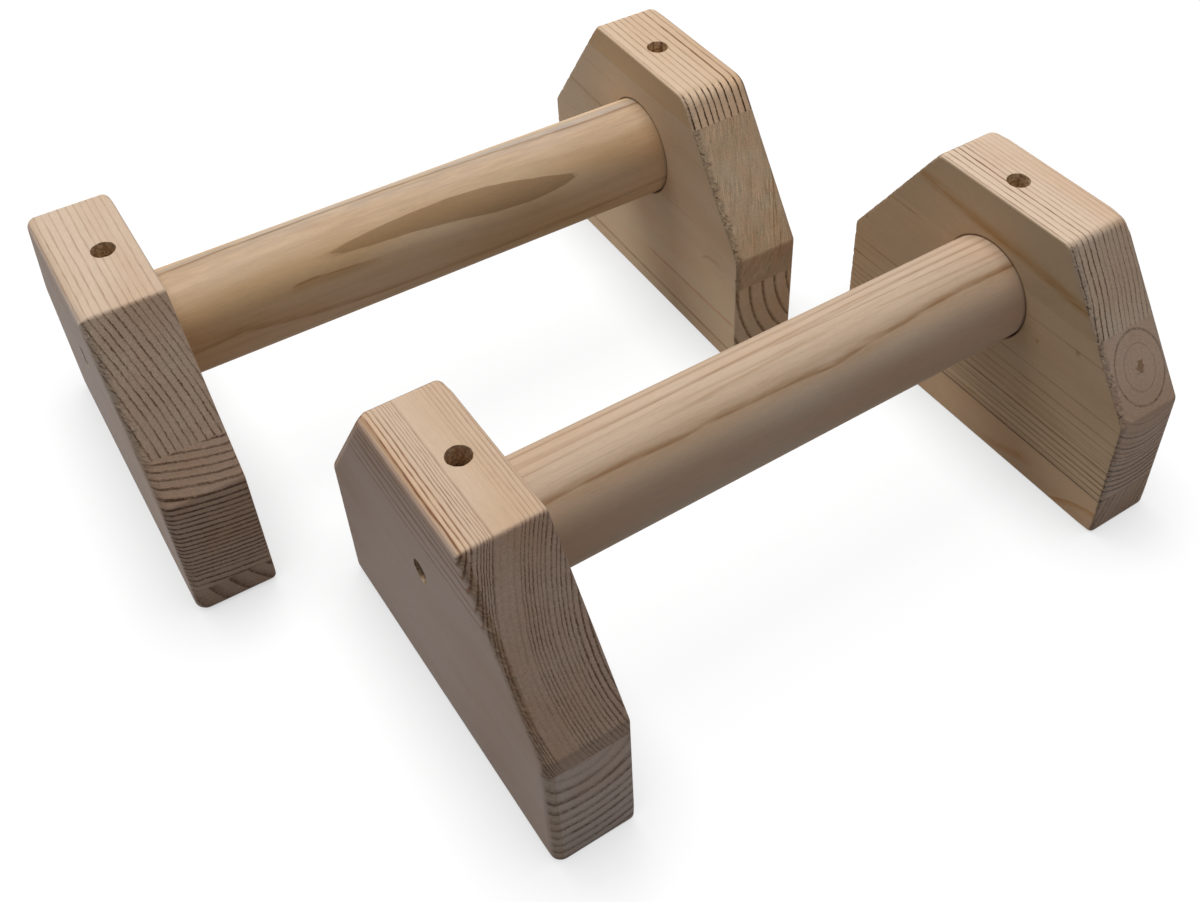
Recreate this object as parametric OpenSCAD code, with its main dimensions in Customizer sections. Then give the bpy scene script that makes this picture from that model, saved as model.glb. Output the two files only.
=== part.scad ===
// Pair of low wooden parallette bars, standing staggered side by side.
// Each bar is a round handle held in blind sockets between two end blocks.
// Each end block is cut from a panel of glued boards, with its edges rounded over,
// and is pinned to the handle by one screw from the end and one from the top.
// Millimetres. X runs along the handles, Z is up, the floor is at z = 0,
// and the origin is on the floor at the middle of the pair.

/* [Handle] */
// Diameter of the round handle
handle_d = 40; // [34:1:44]
// Free length of the handle between the two end blocks
grip_len = 200; // [150:1:260]
// Depth of the handle's axis below the tops of the end blocks
handle_drop = 40; // [36:1:48]
// Bevel on each end of the handle
handle_bevel = 1; // [0.5:0.5:3]

/* [End blocks] */
// Thickness of an end block along the handle
block_t = 29; // [26:0.5:34]
// Height of an end block
block_h = 110; // [96:1:130]
// Width of an end block at its foot
foot_w = 141; // [120:1:180]
// Width of the flat top of an end block
top_w = 63; // [50:1:80]
// Height of the upright ends, where the slopes start
shoulder_h = 55; // [30:1:80]

/* [Edges] */
// Radius of the roundover along the outer face
outer_edge_r = 3.5; // [2:0.5:4]
// Radius of the roundover along the inner face
inner_edge_r = 1; // [1:0.5:4]
// Radius of the corners of the outline, seen from the end
corner_r = 4; // [4:0.5:8]
// Radius of the more heavily sanded top corners of the rear right block
soft_corner_r = 9; // [5:0.5:12]

/* [Glued boards] */
// Height of the foot board of the front left block
front_left_foot_h = 49; // [30:1:65]
// Height of the top board of the front right block
front_right_top_h = 29; // [22:1:34]
// Height of the foot board of the front right block
front_right_foot_h = 17; // [12:1:30]
// Height of the top board of the rear left block
rear_left_top_h = 41; // [36:1:48]
// Height of the foot board of the rear left block
rear_left_foot_h = 12; // [8:1:30]
// Height of the top board of the rear right block
rear_right_top_h = 11; // [11:1:18]
// Height of the foot board of the rear right block
rear_right_foot_h = 41; // [20:1:44]

/* [Sockets] */
// Radial clearance of the handle in its socket, filled with glue
socket_gap = 0.15; // [0.05:0.05:0.3]
// Wood left between the socket's floor and the seat of the end screw
end_wall = 5; // [3:0.5:8]

/* [Screws] */
// Shank diameter of the screws
screw_d = 4; // [3.5:0.5:5]
// Diameter of the screws' pan heads
screw_head_d = 8; // [7:0.1:8.2]
// Height of the screws' pan heads
screw_head_h = 2.8; // [2.2:0.1:3.4]
// Height of the upright rim of the screws' heads
screw_rim_h = 1; // [0.6:0.1:1.4]
// Diameter of the flat on top of the screws' heads
screw_crown_d = 4.8; // [4.8:0.1:6]
// Length of the screws' points
screw_tip = 5; // [3:0.5:7]
// Width of the arms of the cross recess in the heads
recess_w = 1; // [0.8:0.1:1.2]
// Span of the cross recess in the heads
recess_span = 4.4; // [3.6:0.1:5]
// Depth of the cross recess in the heads
recess_depth = 1.8; // [1.2:0.1:2]
// Length of the end screws below the head
end_screw_len = 40; // [30:1:60]
// Distance of the left lock screws from the inner face of their block
lock_inset = 11; // [9:0.5:13]
// Distance of the right lock screws from the inner face of their block
right_lock_inset = 12; // [9:0.5:13]
// How far the right lock screws stand behind the middle of their block
right_lock_offset = 4; // [-5:0.5:5]
// Distance between the point of a lock screw and the end screw that it crosses
screw_cross_gap = 3; // [2:0.5:6]

/* [Screw holes] */
// Diameter of the counterbores that hide the screw heads
cbore_d = 8.5; // [8.5:0.1:10]
// Depth of the counterbores in the outer faces
end_cbore_depth = 6; // [4:0.5:8]
// Depth of the counterbores in the tops
lock_cbore_depth = 10; // [6:0.5:12]
// Radial clearance of the holes that the screws pass or cut through
screw_gap = 0.05; // [0.02:0.01:0.2]
// Extra depth of the pilot holes past the screws' points
pilot_extra = 1; // [0.5:0.5:2]

/* [Placement] */
// Distance between the two handles' centres, across the handles
bar_spacing = 147.4; // [145:0.1:400]
// How far the front bar stands to the right of the rear one
bar_stagger = 55.4; // [0:0.1:120]
// Angle between the two bars, seen from above
bar_yaw = 1.2; // [0:0.1:2]

/* [Hidden] */

$fn = 64;
// Facets of the rounded block: points around a full corner and steps across a roundover
corner_fn = 24;
edge_steps = 5;
// Overlap of cutters past the faces that they open
over = 1;

// Colours: pale pine, the warmer pine of the rear handle, and yellow passivated steel
pine = [0.83, 0.73, 0.62];
golden_pine = [0.76, 0.63, 0.47];
passivated = [0.70, 0.62, 0.40];

// Where each bar stands: 1 is the front bar, -1 the rear one
front = 1;
rear = -1;
// Which end of its bar a block is on
left = -1;
right = 1;

// A block: its bar, its end, its glue lines from the floor up, and its top corners
front_left = [front, left, [front_left_foot_h], corner_r];
front_right = [front, right, [front_right_foot_h, block_h - front_right_top_h], corner_r];
rear_left = [rear, left, [rear_left_foot_h, block_h - rear_left_top_h], corner_r];
rear_right = [rear, right, [rear_right_foot_h, block_h - rear_right_top_h], soft_corner_r];

// Boards are counted from the floor up
foot_board = 0;
middle_board = 1;
function top_board(block) = len(block[2]);

// The handle ends at the floor of its sockets
socket_depth = block_t - end_cbore_depth - end_wall;
socket_r = handle_d / 2 + socket_gap;
handle_len = grip_len + 2 * socket_depth;

// Height of the handle's axis above the floor
handle_z = block_h - handle_drop;

// Seats of the screw heads, from the inner face and from the floor
end_seat_x = block_t - end_cbore_depth;
lock_seat_z = block_h - lock_cbore_depth;

// Where the lock screw of a side stands: from the inner face, and from the middle of the block
function lock_place(side) = side == right ? [right_lock_inset, right_lock_offset] : [lock_inset, 0];

// The lock screw stops short of the end screw that runs along the handle's axis
lock_tip_z = handle_z + screw_d / 2 + screw_cross_gap;
lock_screw_len = lock_seat_z - lock_tip_z;
hole_d = screw_d + 2 * screw_gap;

// Outline of a block: the slopes fall at slope_angle from the top to the shoulders
slope_angle = atan2(block_h - shoulder_h, (foot_w - top_w) / 2);

// Centres and radii of the outline's three corners on the side given by sign
function outline_corners(sign, top_r) = [
    [sign * (top_w / 2 - top_r * tan(slope_angle / 2)), block_h - top_r, top_r],
    [sign * (foot_w / 2 - corner_r), shoulder_h - corner_r * tan((90 - slope_angle) / 2), corner_r],
    [sign * (foot_w / 2 - corner_r), corner_r, corner_r]
];

// Rims of the post that rounds a corner of radius r: distance from its axis, and height
edge_angles = [for (i = [0 : edge_steps]) 90 * i / edge_steps];
function inner_rim(r) = [
    for (a = edge_angles) [r - inner_edge_r * (1 - sin(a)), inner_edge_r * (1 - cos(a))]
];
function outer_rim(r) = [
    for (a = edge_angles) [r - outer_edge_r * (1 - cos(a)), block_t - outer_edge_r * (1 - sin(a))]
];

// A bar's own frame: origin on the floor under the middle of its handle
module place_bar(bar) {
    translate([bar * bar_stagger / 2, -bar * bar_spacing / 2, 0])
        rotate([0, 0, bar * bar_yaw / 2])
            children();
}

// A block's own frame: x = 0 is its inner face and x grows outwards
module place_block(block) {
    place_bar(block[0])
        mirror([block[1] == left ? 1 : 0, 0, 0])
            translate([grip_len / 2, 0, 0])
                children();
}

// Turns what stands along Z into what lies along X
module along_x() {
    rotate([0, 90, 0])
        children();
}

// Post with rounded rims that fills one corner of the outline
module corner_post(r) {
    profile = concat([[0, 0]], inner_rim(r), outer_rim(r), [[0, block_t]]);
    along_x()
        rotate_extrude($fn = corner_fn)
            polygon(profile);
}

// Whole end block before it is drilled, stretched over its six corner posts
module block_solid(top_r) {
    hull()
        for (sign = [-1, 1])
            for (corner = outline_corners(sign, top_r))
                translate([0, corner[0], corner[1]])
                    corner_post(corner[2]);
}

// Everything that is drilled out of a block
module block_bores(side) {
    lock = lock_place(side);
    translate([-over, 0, handle_z])
        along_x()
            cylinder(r = socket_r, h = socket_depth + over);
    translate([0, 0, handle_z])
        along_x()
            cylinder(d = hole_d, h = block_t);
    translate([end_seat_x, 0, handle_z])
        along_x()
            cylinder(d = cbore_d, h = end_cbore_depth + over);
    translate([lock[0], lock[1], handle_z])
        cylinder(d = hole_d, h = block_h - handle_z);
    translate([lock[0], lock[1], lock_seat_z])
        cylinder(d = cbore_d, h = lock_cbore_depth + over);
}

// One board of a block, between two glue lines or a glue line and the floor or the top
module board(block, level) {
    glue_lines = block[2];
    bottom_z = level == foot_board ? -over : glue_lines[level - 1];
    top_z = level == top_board(block) ? block_h + over : glue_lines[level];
    color(pine)
        place_block(block)
            difference() {
                intersection() {
                    block_solid(block[3]);
                    translate([-over, -foot_w, bottom_z])
                        cube([block_t + 2 * over, 2 * foot_w, top_z - bottom_z]);
                }
                block_bores(block[1]);
            }
}

// Round handle with bevelled ends and its pilot holes
module handle(bar, tint) {
    color(tint)
        place_bar(bar)
            translate([0, 0, handle_z])
                difference() {
                    handle_rod();
                    for (side = [left, right])
                        mirror([side == left ? 1 : 0, 0, 0])
                            handle_pilots(lock_place(side));
                }
}

module handle_rod() {
    profile = [
        [0, 0],
        [handle_d / 2 - handle_bevel, 0],
        [handle_d / 2, handle_bevel],
        [handle_d / 2, handle_len - handle_bevel],
        [handle_d / 2 - handle_bevel, handle_len],
        [0, handle_len]
    ];
    translate([-handle_len / 2, 0, 0])
        along_x()
            rotate_extrude()
                polygon(profile);
}

// Pilot holes at the right end: one along the axis, one down from the top where the lock screw stands
module handle_pilots(lock) {
    end_reach = end_screw_len - end_wall + pilot_extra;
    translate([handle_len / 2 - end_reach, 0, 0])
        along_x()
            cylinder(d = hole_d, h = end_reach + over);
    translate([grip_len / 2 + lock[0], lock[1], lock_tip_z - handle_z - pilot_extra])
        cylinder(d = hole_d, h = handle_d);
}

// Pan head screw standing on its seat at z = 0, with its point down
module screw(length) {
    profile = [
        [0, -length],
        [screw_d / 2, screw_tip - length],
        [screw_d / 2, 0],
        [screw_head_d / 2, 0],
        [screw_head_d / 2, screw_rim_h],
        [screw_crown_d / 2, screw_head_h],
        [0, screw_head_h]
    ];
    color(passivated)
        difference() {
            rotate_extrude()
                polygon(profile);
            for (turn = [0, 90])
                rotate([0, 0, turn])
                    translate([-recess_span / 2, -recess_w / 2, screw_head_h - recess_depth])
                        cube([recess_span, recess_w, recess_depth + over]);
        }
}

// Screw along the handle's axis, through the socket's floor
module end_screw(block) {
    place_block(block)
        translate([end_seat_x, 0, handle_z])
            along_x()
                screw(end_screw_len);
}

// Screw down through the top of the block into the handle
module lock_screw(block) {
    lock = lock_place(block[1]);
    place_block(block)
        translate([lock[0], lock[1], lock_seat_z])
            screw(lock_screw_len);
}

handle(front, pine);  // front_handle
board(front_left, top_board(front_left));  // front_left_top_board
board(front_left, foot_board);  // front_left_foot_board
board(front_right, top_board(front_right));  // front_right_top_board
board(front_right, middle_board);  // front_right_middle_board
board(front_right, foot_board);  // front_right_foot_board
end_screw(front_left);  // front_left_end_screw
end_screw(front_right);  // front_right_end_screw
lock_screw(front_left);  // front_left_lock_screw
lock_screw(front_right);  // front_right_lock_screw
handle(rear, golden_pine);  // rear_handle
board(rear_left, top_board(rear_left));  // rear_left_top_board
board(rear_left, middle_board);  // rear_left_middle_board
board(rear_left, foot_board);  // rear_left_foot_board
board(rear_right, top_board(rear_right));  // rear_right_top_board
board(rear_right, middle_board);  // rear_right_middle_board
board(rear_right, foot_board);  // rear_right_foot_board
end_screw(rear_left);  // rear_left_end_screw
end_screw(rear_right);  // rear_right_end_screw
lock_screw(rear_left);  // rear_left_lock_screw
lock_screw(rear_right);  // rear_right_lock_screw
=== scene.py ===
"""Looks for the pair of parallette bars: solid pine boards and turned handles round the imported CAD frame.

Each board and handle is rebuilt in finer mesh code where its CAD node stands, and gets its own wood: rings
about a pith that runs along the grain, so that the lines on a top, a slope and a side meet as in timber.
Shapes are written in mm in a bar's own frame (x along the handle, y across it, z up) and scaled to metres.
"""

import math

import bmesh
import bpy
from mathutils import Euler, Matrix, Vector, noise


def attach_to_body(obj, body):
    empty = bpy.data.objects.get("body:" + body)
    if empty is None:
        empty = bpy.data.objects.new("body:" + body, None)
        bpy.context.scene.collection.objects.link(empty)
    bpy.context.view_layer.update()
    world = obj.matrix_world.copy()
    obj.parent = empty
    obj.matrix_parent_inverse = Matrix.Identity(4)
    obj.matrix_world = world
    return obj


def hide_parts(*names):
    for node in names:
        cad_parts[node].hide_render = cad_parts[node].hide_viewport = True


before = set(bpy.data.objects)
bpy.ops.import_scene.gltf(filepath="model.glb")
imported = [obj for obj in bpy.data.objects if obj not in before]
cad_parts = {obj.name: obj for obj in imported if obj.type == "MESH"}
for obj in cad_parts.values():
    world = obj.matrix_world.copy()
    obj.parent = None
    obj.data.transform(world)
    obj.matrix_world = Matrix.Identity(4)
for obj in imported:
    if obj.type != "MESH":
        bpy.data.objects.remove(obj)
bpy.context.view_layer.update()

MM = .001
LEFT, RIGHT = -1, 1
FRONT, REAR = 1, -1
BARS = {"front": FRONT, "rear": REAR}

# Sizes, as in the CAD source
HANDLE_R = 20
HANDLE_Z = 70
HANDLE_BEVEL = 1
GRIP = 200
BLOCK_T = 29
BLOCK_H = 110
FOOT_W = 141
TOP_W = 63
SHOULDER_H = 55
OUTER_EDGE_R = 3.5
INNER_EDGE_R = 1
SOCKET_R = 20.15
SOCKET_DEPTH = 18
HOLE_R = 2.05
END_SEAT = 23
LOCK_AT = {LEFT: (11, 0), RIGHT: (12, 4)}
LOCK_SEAT_Z = 100
LOCK_PILOT_Z = 74
END_PILOT = 82
BAR_SPACING = 147.4
BAR_STAGGER = 55.4
BAR_YAW = 1.2
SLOPE = math.atan2(BLOCK_H - SHOULDER_H, (FOOT_W - TOP_W) / 2)

# Sizes that drilling and sanding by hand left a little other than in the CAD source
CBORE_R = 4.15
SHOULDER_R = 3.5
# Each block's foot corner radius, then the top's near and far corner: radius, wear at inner and outer face
CORNERS = {
    "front_left": (1.6, (2.2, (0, 0)), (3, (1, .4))),
    "front_right": (1.6, (4.5, (0, 1)), (3.5, (.2, .8))),
    "rear_left": (3.6, (2.2, (0, .6)), (3, (1, .1))),
    "rear_right": (3.6, (9, (0, 0)), (4, (.2, .3))),
}
FOOT_WEAR = (.5, .5)
NO_WEAR = (0, 0)


def bar_matrix(bar):
    """Where a bar's own frame lies in the row frame, in metres."""
    at = Vector((bar * BAR_STAGGER / 2, -bar * BAR_SPACING / 2, 0)) * MM
    return Matrix.Translation(at) @ Matrix.Rotation(math.radians(bar * BAR_YAW / 2), 4, "Z")


# Mesh code

CREASE_ANGLE = 32
FLAT_WEIGHT = 90


def link(thing):
    bpy.context.scene.collection.objects.link(thing)


def move(bm, matrix):
    bmesh.ops.transform(bm, matrix=matrix, verts=bm.verts)
    return bm


def new_object(name, bm, bar):
    """A mesh object in a bar's frame from a bmesh written in millimetres."""
    bmesh.ops.recalc_face_normals(bm, faces=bm.faces)
    move(bm, Matrix.Scale(MM, 4))
    mesh = bpy.data.meshes.new(name)
    bm.to_mesh(mesh)
    bm.free()
    piece = bpy.data.objects.new(name, mesh)
    piece.matrix_world = bar_matrix(bar)
    link(piece)
    return piece


def apply_modifiers(piece):
    """Bakes a piece's modifiers into its mesh."""
    graph = bpy.context.evaluated_depsgraph_get()
    mesh = bpy.data.meshes.new_from_object(piece.evaluated_get(graph))
    piece.modifiers.clear()
    piece.data = mesh


def carve(piece, cutters):
    """Takes the cutters out of a piece and deletes them."""
    for cutter in cutters:
        cut = piece.modifiers.new("cut", "BOOLEAN")
        cut.operation = "DIFFERENCE"
        cut.solver = "EXACT"
        cut.object = cutter
    bpy.context.view_layer.update()
    apply_modifiers(piece)
    for cutter in cutters:
        bpy.data.objects.remove(cutter)


def smooth(piece):
    """Smooth shading with crisp creases; broad flats keep their own normals."""
    piece.data.shade_smooth()
    piece.data.set_sharp_from_angle(angle=math.radians(CREASE_ANGLE))
    weigh = piece.modifiers.new("weighted normals", "WEIGHTED_NORMAL")
    weigh.keep_sharp = True
    weigh.weight = FLAT_WEIGHT
    apply_modifiers(piece)


def close_skin(bm, rings, first_end):
    """Faces between rings of points, and over the first and the last ring."""
    count = len(rings[0])
    for low, high in zip(rings, rings[1:]):
        for i in range(count):
            j = (i + 1) % count
            bm.faces.new((low[i], low[j], high[j], high[i]))
    bm.faces.new(first_end)
    bm.faces.new(rings[-1])


def lathe(profile, turns, ragged=None):
    """Closed solid turned about +Z from (radius, height) pairs; ragged(angle, height) widens it."""
    bm = bmesh.new()
    rings = []
    for r, h in profile:
        ring = []
        for i in range(turns):
            a = 2 * math.pi * i / turns
            rr = r + (ragged(a, h) if ragged else 0)
            ring.append(bm.verts.new((rr * math.cos(a), rr * math.sin(a), h)))
        rings.append(ring)
    close_skin(bm, rings, rings[0][::-1])
    return bm


def turn_along_x(bm, side, at_x, at_z):
    """Lays a lathed solid along x, pointing away from the bar's middle on that side."""
    turn = Matrix.Rotation(math.radians(90 * side), 4, "Y")
    return move(bm, Matrix.Translation((side * at_x, 0, at_z)) @ turn)


# End blocks

OUTLINE_STEP = .75
LEAST_R = .1
ARC_STEPS = 7
INNER_STEPS = 4
OUTER_STEPS = 7
# Radius to which a block's three-way corners are worn at its inner and outer face, and how far that reaches
WORN_INNER_R = 2.6
WORN_OUTER_R = 5
WORN_REACH = 7.5
# Extra rows of points across a block's rim, as depths from its inner face and from its outer face
INNER_ROWS = (1.6, 2.4, 3.4, 5, 8, 11.5)
OUTER_ROWS = (11.5, 8.5, 6.5, 5.4, 4.6, 4)
# Torn end grain: its reach from the inner and the outer arris, its depth, and the saw's waves
TEAR_IN = 2.4
TEAR_OUT = 3.4
CHIP_DEPTH = .5
SAW_WAVE = .03
LEAST_END_GRAIN = .3


def outline_corners(block):
    """The outline's corners, clockwise from the near foot: point, radius, two normals' angles, wear."""
    tilt = 90 - math.degrees(SLOPE)
    foot_y, top_y = FOOT_W / 2, TOP_W / 2
    foot_r, (near_r, near_wear), (far_r, far_wear) = CORNERS[block]
    return [
        (-foot_y, 0, foot_r, 270, 180, FOOT_WEAR),
        (-foot_y, SHOULDER_H, SHOULDER_R, 180, 180 - tilt, NO_WEAR),
        (-top_y, BLOCK_H, near_r, 180 - tilt, 90, near_wear),
        (top_y, BLOCK_H, far_r, 90, tilt, far_wear),
        (foot_y, SHOULDER_H, SHOULDER_R, tilt, 0, NO_WEAR),
        (foot_y, 0, foot_r, 0, -90, FOOT_WEAR),
    ]


def facing(degrees):
    """Unit vector across a block at an angle from +y."""
    return Vector((0, math.cos(math.radians(degrees)), math.sin(math.radians(degrees))))


def outline(corners, inset):
    """Points and outward normals round a block, pulled in by inset."""
    sides = []
    for y, z, r, a, b, _ in corners:
        r_here = max(r - inset, LEAST_R)
        sharp = Vector((0, y, z))
        centre = sharp - facing((a + b) / 2) * ((inset + r_here) / math.cos(math.radians(b - a) / 2))
        normals = [facing(a + (b - a) * i / ARC_STEPS) for i in range(ARC_STEPS + 1)]
        sides.append((sharp, [(centre + n * r_here, n) for n in normals]))
    points = []
    for (sharp, arc), (next_sharp, next_arc) in zip(sides, sides[1:] + sides[:1]):
        points += arc
        start, end, n = arc[-1][0], next_arc[0][0], arc[-1][1]
        steps = round((next_sharp - sharp).length / OUTLINE_STEP)
        points += [(start.lerp(end, i / steps), n) for i in range(1, steps)]
    return points


def edge_inset(radius, from_face):
    """How far an edge of this radius is pulled in at a distance from its face."""
    return radius - math.sqrt(radius ** 2 - max(0, radius - from_face) ** 2)


def worn(point, depth, corners):
    """Move of a point of the outline where a three-way corner is rubbed rounder than the edges."""
    shift = Vector((0, 0, 0))
    for y, z, _, a, b, (inner, outer) in corners:
        near = 1 - ((point - Vector((0, y, z))).length / WORN_REACH) ** 2
        if near <= 0:
            continue
        for worn_r, edge_r, from_face, share in (
            (WORN_INNER_R, INNER_EDGE_R, depth, inner), (WORN_OUTER_R, OUTER_EDGE_R, BLOCK_T - depth, outer)
        ):
            r = edge_r + (worn_r - edge_r) * near ** 2 * share
            shift -= facing((a + b) / 2) * (edge_inset(r, from_face) - edge_inset(edge_r, from_face))
    return shift


def quarter_round(radius, steps):
    """Depth and inset along an edge, from its face on."""
    turns = [math.radians(90 * i / steps) for i in range(steps + 1)]
    return [(radius * (1 - math.cos(a)), radius * (1 - math.sin(a))) for a in turns]


def edge_layers():
    """Depths through a block from its inner face, with how far the outline is pulled in at each."""
    layers = quarter_round(INNER_EDGE_R, INNER_STEPS)
    layers += [(d, 0) for d in INNER_ROWS] + [(BLOCK_T - d, 0) for d in OUTER_ROWS]
    return layers + [(BLOCK_T - rise, inset) for inset, rise in quarter_round(OUTER_EDGE_R, OUTER_STEPS)]


def tear_out(point, normal, depth, seed, torn):
    """How far the wood is chipped back: only end grain tears, and most along the two arrises."""
    end_grain = abs(normal.y)
    if end_grain < LEAST_END_GRAIN:
        return 0
    outer, inner = torn
    edge = inner * max(0, 1 - depth / TEAR_IN) + outer * max(0, 1 - (BLOCK_T - depth) / TEAR_OUT)
    at = Vector((depth * .9, point.y, point.z)) + Vector((seed, seed, seed))
    chips = max(0, noise.noise(at * 1.1)) * .7 + max(0, noise.noise(at * .3)) * .3
    saw = SAW_WAVE * noise.noise(at * .5)
    return (.25 + edge) * end_grain * chips * CHIP_DEPTH * min(1, 2 * edge) + saw


def block_mesh(block, side, seed, torn):
    """Whole end block, with hand-rounded edges, before it is cut into boards."""
    bm = bmesh.new()
    rows = []
    corners = outline_corners(block)
    for depth, inset in edge_layers():
        row = []
        for p, n in outline(corners, inset):
            q = p + worn(p, depth, corners) - n * tear_out(p, n, depth, seed, torn)
            row.append(bm.verts.new((side * (GRIP / 2 + depth), q.y, q.z)))
        rows.append(row)
    close_skin(bm, rows, rows[0])
    bmesh.ops.recalc_face_normals(bm, faces=bm.faces)
    return bm


def slice_between(bm, bottom, top):
    """Keeps what lies between two heights and closes the cuts."""
    for height, keep in ((bottom, 1), (top, -1)):
        if height is None:
            continue
        geometry = bm.verts[:] + bm.edges[:] + bm.faces[:]
        cut = bmesh.ops.bisect_plane(
            bm, geom=geometry, dist=1e-4, plane_co=(0, 0, height), plane_no=(0, 0, -keep), clear_outer=True
        )
        rim = [e for e in cut["geom_cut"] if isinstance(e, bmesh.types.BMEdge)]
        bmesh.ops.edgeloop_fill(bm, edges=rim)


# How much wider a socket's mouth is, how far it lies towards the near side, and how deep it goes
MOUTH_GAP = .27
MOUTH_OFF = .2
MOUTH_DEPTH = 1.2
SOCKET_TURNS = 96
# A counterbore's ridges, its frayed rim, and how far its cutter goes past the surface
DRILL_STEPS = 12
DRILL_RIDGE = .09
RIM_DEPTH = .2
RIM_GAP = .1
PAST = 1
FRAY_DEPTH = 1.5
FRAY = .12
ROUGH_WALL = .06
LOCK_TURNS = 72


def drilled(seat, surface):
    """Profile of a counterbore from its seat out past the surface."""
    rows = []
    for i in range(DRILL_STEPS):
        rows.append((CBORE_R + DRILL_RIDGE * (i % 2), seat + (surface - seat) * i / DRILL_STEPS))
    rim = CBORE_R + RIM_GAP
    return rows + [(CBORE_R, surface - RIM_DEPTH), (rim, surface + .02), (rim, surface + PAST)]


def socket_cutter(side, bar):
    """Handle socket, screw hole and counterbore along the handle's axis."""
    mouth = SOCKET_R + MOUTH_GAP
    profile = [(mouth, -PAST), (mouth, MOUTH_DEPTH), (SOCKET_R, MOUTH_DEPTH + 1), (SOCKET_R, SOCKET_DEPTH)]
    profile += [(HOLE_R, SOCKET_DEPTH), (HOLE_R, END_SEAT)] + drilled(END_SEAT, BLOCK_T)

    def off_centre(angle, height):
        return -MOUTH_OFF * math.sin(angle) if height < 2 else 0

    bm = lathe(profile, SOCKET_TURNS, off_centre)
    return new_object("socket", turn_along_x(bm, side, GRIP / 2, HANDLE_Z), bar)


def lock_axis(side):
    """Where a lock screw stands in its bar's frame."""
    inset, offset = LOCK_AT[side]
    return Vector((side * (GRIP / 2 + inset), offset, 0))


def lock_place(side):
    return Matrix.Translation(lock_axis(side))


def lock_cutter(side, bar):
    """Screw hole and counterbore down from a block's top into the socket."""
    profile = [(HOLE_R, HANDLE_Z), (HOLE_R, LOCK_SEAT_Z)] + drilled(LOCK_SEAT_Z, BLOCK_H)

    def frayed(angle, height):
        near_rim = max(0, 1 - abs(height - BLOCK_H) / FRAY_DEPTH)
        wave = noise.noise(Vector((3 * math.cos(angle), 3 * math.sin(angle), 7 * side + bar)))
        return (ROUGH_WALL + FRAY * near_rim) * wave if height > LOCK_SEAT_Z else 0

    return new_object("lock_hole", move(lathe(profile, LOCK_TURNS, frayed), lock_place(side)), bar)


def board(name, bar, side, bottom, top, seed, torn):
    """One board of a block, sliced at its glue lines and drilled."""
    bm = block_mesh(name.rsplit("_", 2)[0], side, seed, torn)
    slice_between(bm, bottom, top)
    piece = new_object(name + "_wood", bm, bar)
    highest = BLOCK_H if top is None else top
    cutters = []
    if highest > HANDLE_Z - SOCKET_R:
        cutters.append(socket_cutter(side, bar))
    if highest > LOCK_PILOT_Z + 1:
        cutters.append(lock_cutter(side, bar))
    if cutters:
        carve(piece, cutters)
    smooth(piece)
    return piece


# Handles

HANDLE_STEPS = 24
HANDLE_TURNS = 144
PILOT_TURNS = 24
PILOT_LEN = 60


def handle(name, bar):
    """Turned handle with bevelled ends and its four pilot holes."""
    half = GRIP / 2 + SOCKET_DEPTH
    start, reach = -half + HANDLE_BEVEL, 2 * half - 2 * HANDLE_BEVEL
    profile = [(HANDLE_R - HANDLE_BEVEL, -half), (HANDLE_R, start)]
    profile += [(HANDLE_R, start + reach * i / HANDLE_STEPS) for i in range(1, HANDLE_STEPS)]
    profile += [(HANDLE_R, half - HANDLE_BEVEL), (HANDLE_R - HANDLE_BEVEL, half)]
    turned = turn_along_x(lathe(profile, HANDLE_TURNS), RIGHT, 0, HANDLE_Z)
    piece = new_object(name + "_wood", turned, bar)
    cutters = []
    for side in (LEFT, RIGHT):
        end = lathe([(HOLE_R, 0), (HOLE_R, PILOT_LEN)], PILOT_TURNS)
        cutters.append(new_object("pilot", turn_along_x(end, side, END_PILOT, HANDLE_Z), bar))
        down = lathe([(HOLE_R, LOCK_PILOT_Z), (HOLE_R, BLOCK_H)], PILOT_TURNS)
        cutters.append(new_object("pilot", move(down, lock_place(side)), bar))
    carve(piece, cutters)
    smooth(piece)
    return piece


# Material helper


def linear(rgb):
    """Scene colour from an 8-bit screen colour."""
    shares = [c / 255 for c in rgb]
    return tuple(c / 12.92 if c <= .04 else ((c + .055) / 1.055) ** 2.4 for c in shares) + (1,)


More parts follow.
